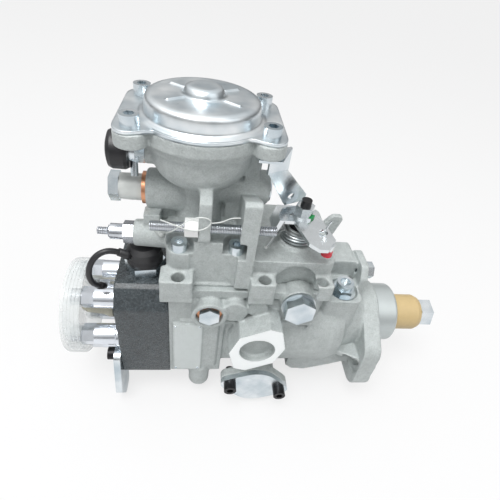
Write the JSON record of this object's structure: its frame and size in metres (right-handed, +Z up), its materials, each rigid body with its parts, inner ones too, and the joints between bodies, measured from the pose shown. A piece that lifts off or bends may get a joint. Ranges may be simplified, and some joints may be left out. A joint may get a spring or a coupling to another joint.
{
  "type": "diesel injection pump",
  "caption": "Distributor-type diesel injection pump with boost compensator, stop solenoid, outlets under a clear transit cap, flanged housing and a keyed taper shaft.",
  "frame": {"origin": "centre of the mounting flange's face, on the drive shaft's axis", "axes": "+X along the shaft out of the drive end, +Z up through the boost compensator, +Y away from the side that carries the large hex plug"},
  "size_m": [0.307, 0.113, 0.2475],
  "materials": {
    "cast_aluminium": "bead-blasted casting",
    "black_iron": "near-black, lightly oiled",
    "zinc_plate": "bright zinc plating",
    "bare_steel": "machined steel",
    "black_oxide": "black oxide",
    "copper_washer": "soft copper",
    "bronze_bush": "sintered bronze",
    "tan_plastic": "tan moulded",
    "milky_plastic": "milky, slightly clear",
    "clear_plastic": "clear moulded",
    "cream_plastic": "cream moulded",
    "black_plastic": "black moulded",
    "black_rubber": "soft black"
  },
  "bodies": {
    "housing": {"pump_housing": "cast_aluminium", "governor_cover": "cast_aluminium", "timing_covers": "zinc_plate", "shaft_bush": "bronze_bush", "shaft_seal": "black_rubber", "zinc_cap_screws": "zinc_plate", "black_cap_screws": "black_oxide", "compensator_cover": "zinc_plate", "boost_port_fitting": "zinc_plate", "boost_port_cap": "black_plastic", "inlet_bolt": "zinc_plate", "inlet_sleeve": "milky_plastic", "sealing_washers": "copper_washer", "full_load_screw": "zinc_plate", "lock_nuts": "zinc_plate", "speed_stop_rod": "zinc_plate", "supply_pump_ring": "bare_steel", "governor_pin": "bare_steel", "distributor_head": "black_iron", "head_barrel": "bare_steel", "delivery_valve_holders": "zinc_plate", "head_plug": "zinc_plate", "solenoid_body": "zinc_plate", "solenoid_boot": "black_rubber", "solenoid_lead": "black_rubber", "outlet_cap": "clear_plastic", "transit_plug": "cream_plastic", "support_plate": "zinc_plate", "pressure_valve": "zinc_plate", "hex_plugs": "zinc_plate", "lug_bolt": "zinc_plate", "lever_bracket": "zinc_plate", "diaphragm": "black_rubber", "boost_spring": "bare_steel", "timing_spring": "bare_steel", "throttle_spring": "black_oxide"},
    "shaft": {"drive_shaft": "bare_steel", "shaft_key": "bare_steel", "shaft_nut": "zinc_plate", "shipping_sleeve": "tan_plastic", "supply_pump_rotor": "bare_steel", "pump_vanes": "bare_steel", "drive_gear": "bare_steel"},
    "cam": {"cam_plate": "bare_steel", "plunger": "bare_steel"},
    "governor": {"governor_cage": "bare_steel", "flyweights": "bare_steel"},
    "sleeve": {"governor_sleeve": "bare_steel"},
    "lever": {"governor_lever": "bare_steel"},
    "collar": {"control_collar": "bare_steel"},
    "timer": {"timing_piston": "bare_steel"},
    "ring": {"roller_ring": "bare_steel", "rollers": "bare_steel"},
    "boost": {"boost_pin": "bare_steel"},
    "throttle": {"throttle_shaft": "bare_steel", "throttle_lever": "zinc_plate", "throttle_nut": "zinc_plate"},
    "valves": {"delivery_valves": "bare_steel"},
    "armature": {"solenoid_armature": "bare_steel"},
    "regulator": {"pressure_valve_piston": "bare_steel"}
  },
  "joints": [
    {"name": "shaft_spin", "type": "hinge", "parent": "housing", "child": "shaft", "pos_m": [0, 0, 0], "axis": [1, 0, 0], "continuous": true},
    {"name": "cam_stroke", "type": "slide", "parent": "shaft", "child": "cam", "axis": [-1, 0, 0], "range_m": [0, 0.0021]},
    {"name": "governor_spin", "type": "hinge", "parent": "housing", "child": "governor", "pos_m": [-0.08, 0, 0.034], "axis": [1, 0, 0], "continuous": true},
    {"name": "governor_sleeve_slide", "type": "slide", "parent": "housing", "child": "sleeve", "axis": [-1, 0, 0], "range_m": [0, 0.0025]},
    {"name": "governor_lever_turn", "type": "hinge", "parent": "housing", "child": "lever", "pos_m": [-0.1304, 0, 0.024], "axis": [0, -1, 0], "range_deg": [0, 14.6]},
    {"name": "control_collar_slide", "type": "slide", "parent": "housing", "child": "collar", "axis": [1, 0, 0], "range_m": [0, 0.0036]},
    {"name": "timing_piston_slide", "type": "slide", "parent": "housing", "child": "timer", "axis": [0, 1, 0], "range_m": [0, 0.006], "stiffness_N_per_m": 2500, "springref_m": -0.002},
    {"name": "roller_ring_turn", "type": "hinge", "parent": "housing", "child": "ring", "pos_m": [-0.098, 0, 0], "axis": [1, 0, 0], "range_deg": [0, 8.4]},
    {"name": "boost_pin_slide", "type": "slide", "parent": "housing", "child": "boost", "axis": [0, 0, -1], "range_m": [0, 0.004], "stiffness_N_per_m": 2500, "springref_m": -0.003, "deforming": ["diaphragm", "boost_spring"]},
    {"name": "throttle_turn", "type": "hinge", "parent": "housing", "child": "throttle", "pos_m": [-0.0815, -0.0087, 0.1], "axis": [0, 0, 1], "range_deg": [0, 45], "stiffness_Nm_per_rad": 0.2, "springref_deg": -17.19},
    {"name": "delivery_valve_lift", "type": "slide", "parent": "housing", "child": "valves", "axis": [-1, 0, 0], "range_m": [0, 0.002]},
    {"name": "solenoid_lift", "type": "slide", "parent": "housing", "child": "armature", "axis": [0, 0, 1], "range_m": [0, 0.0015], "stiffness_N_per_m": 500, "springref_m": -0.002},
    {"name": "pressure_valve_slide", "type": "slide", "parent": "housing", "child": "regulator", "axis": [0, 0, 1], "range_m": [0, 0.004], "stiffness_N_per_m": 200, "springref_m": -0.002}
  ],
  "couplings": [
    {"joint": "governor_spin", "follows": "shaft_spin", "ratio": -1.5},
    {"joint": "governor_lever_turn", "follows": "governor_sleeve_slide", "rad_per_m": 100},
    {"joint": "control_collar_slide", "follows": "governor_sleeve_slide", "ratio": 1.4},
    {"joint": "roller_ring_turn", "follows": "timing_piston_slide", "rad_per_m": 23.81}
  ]
}
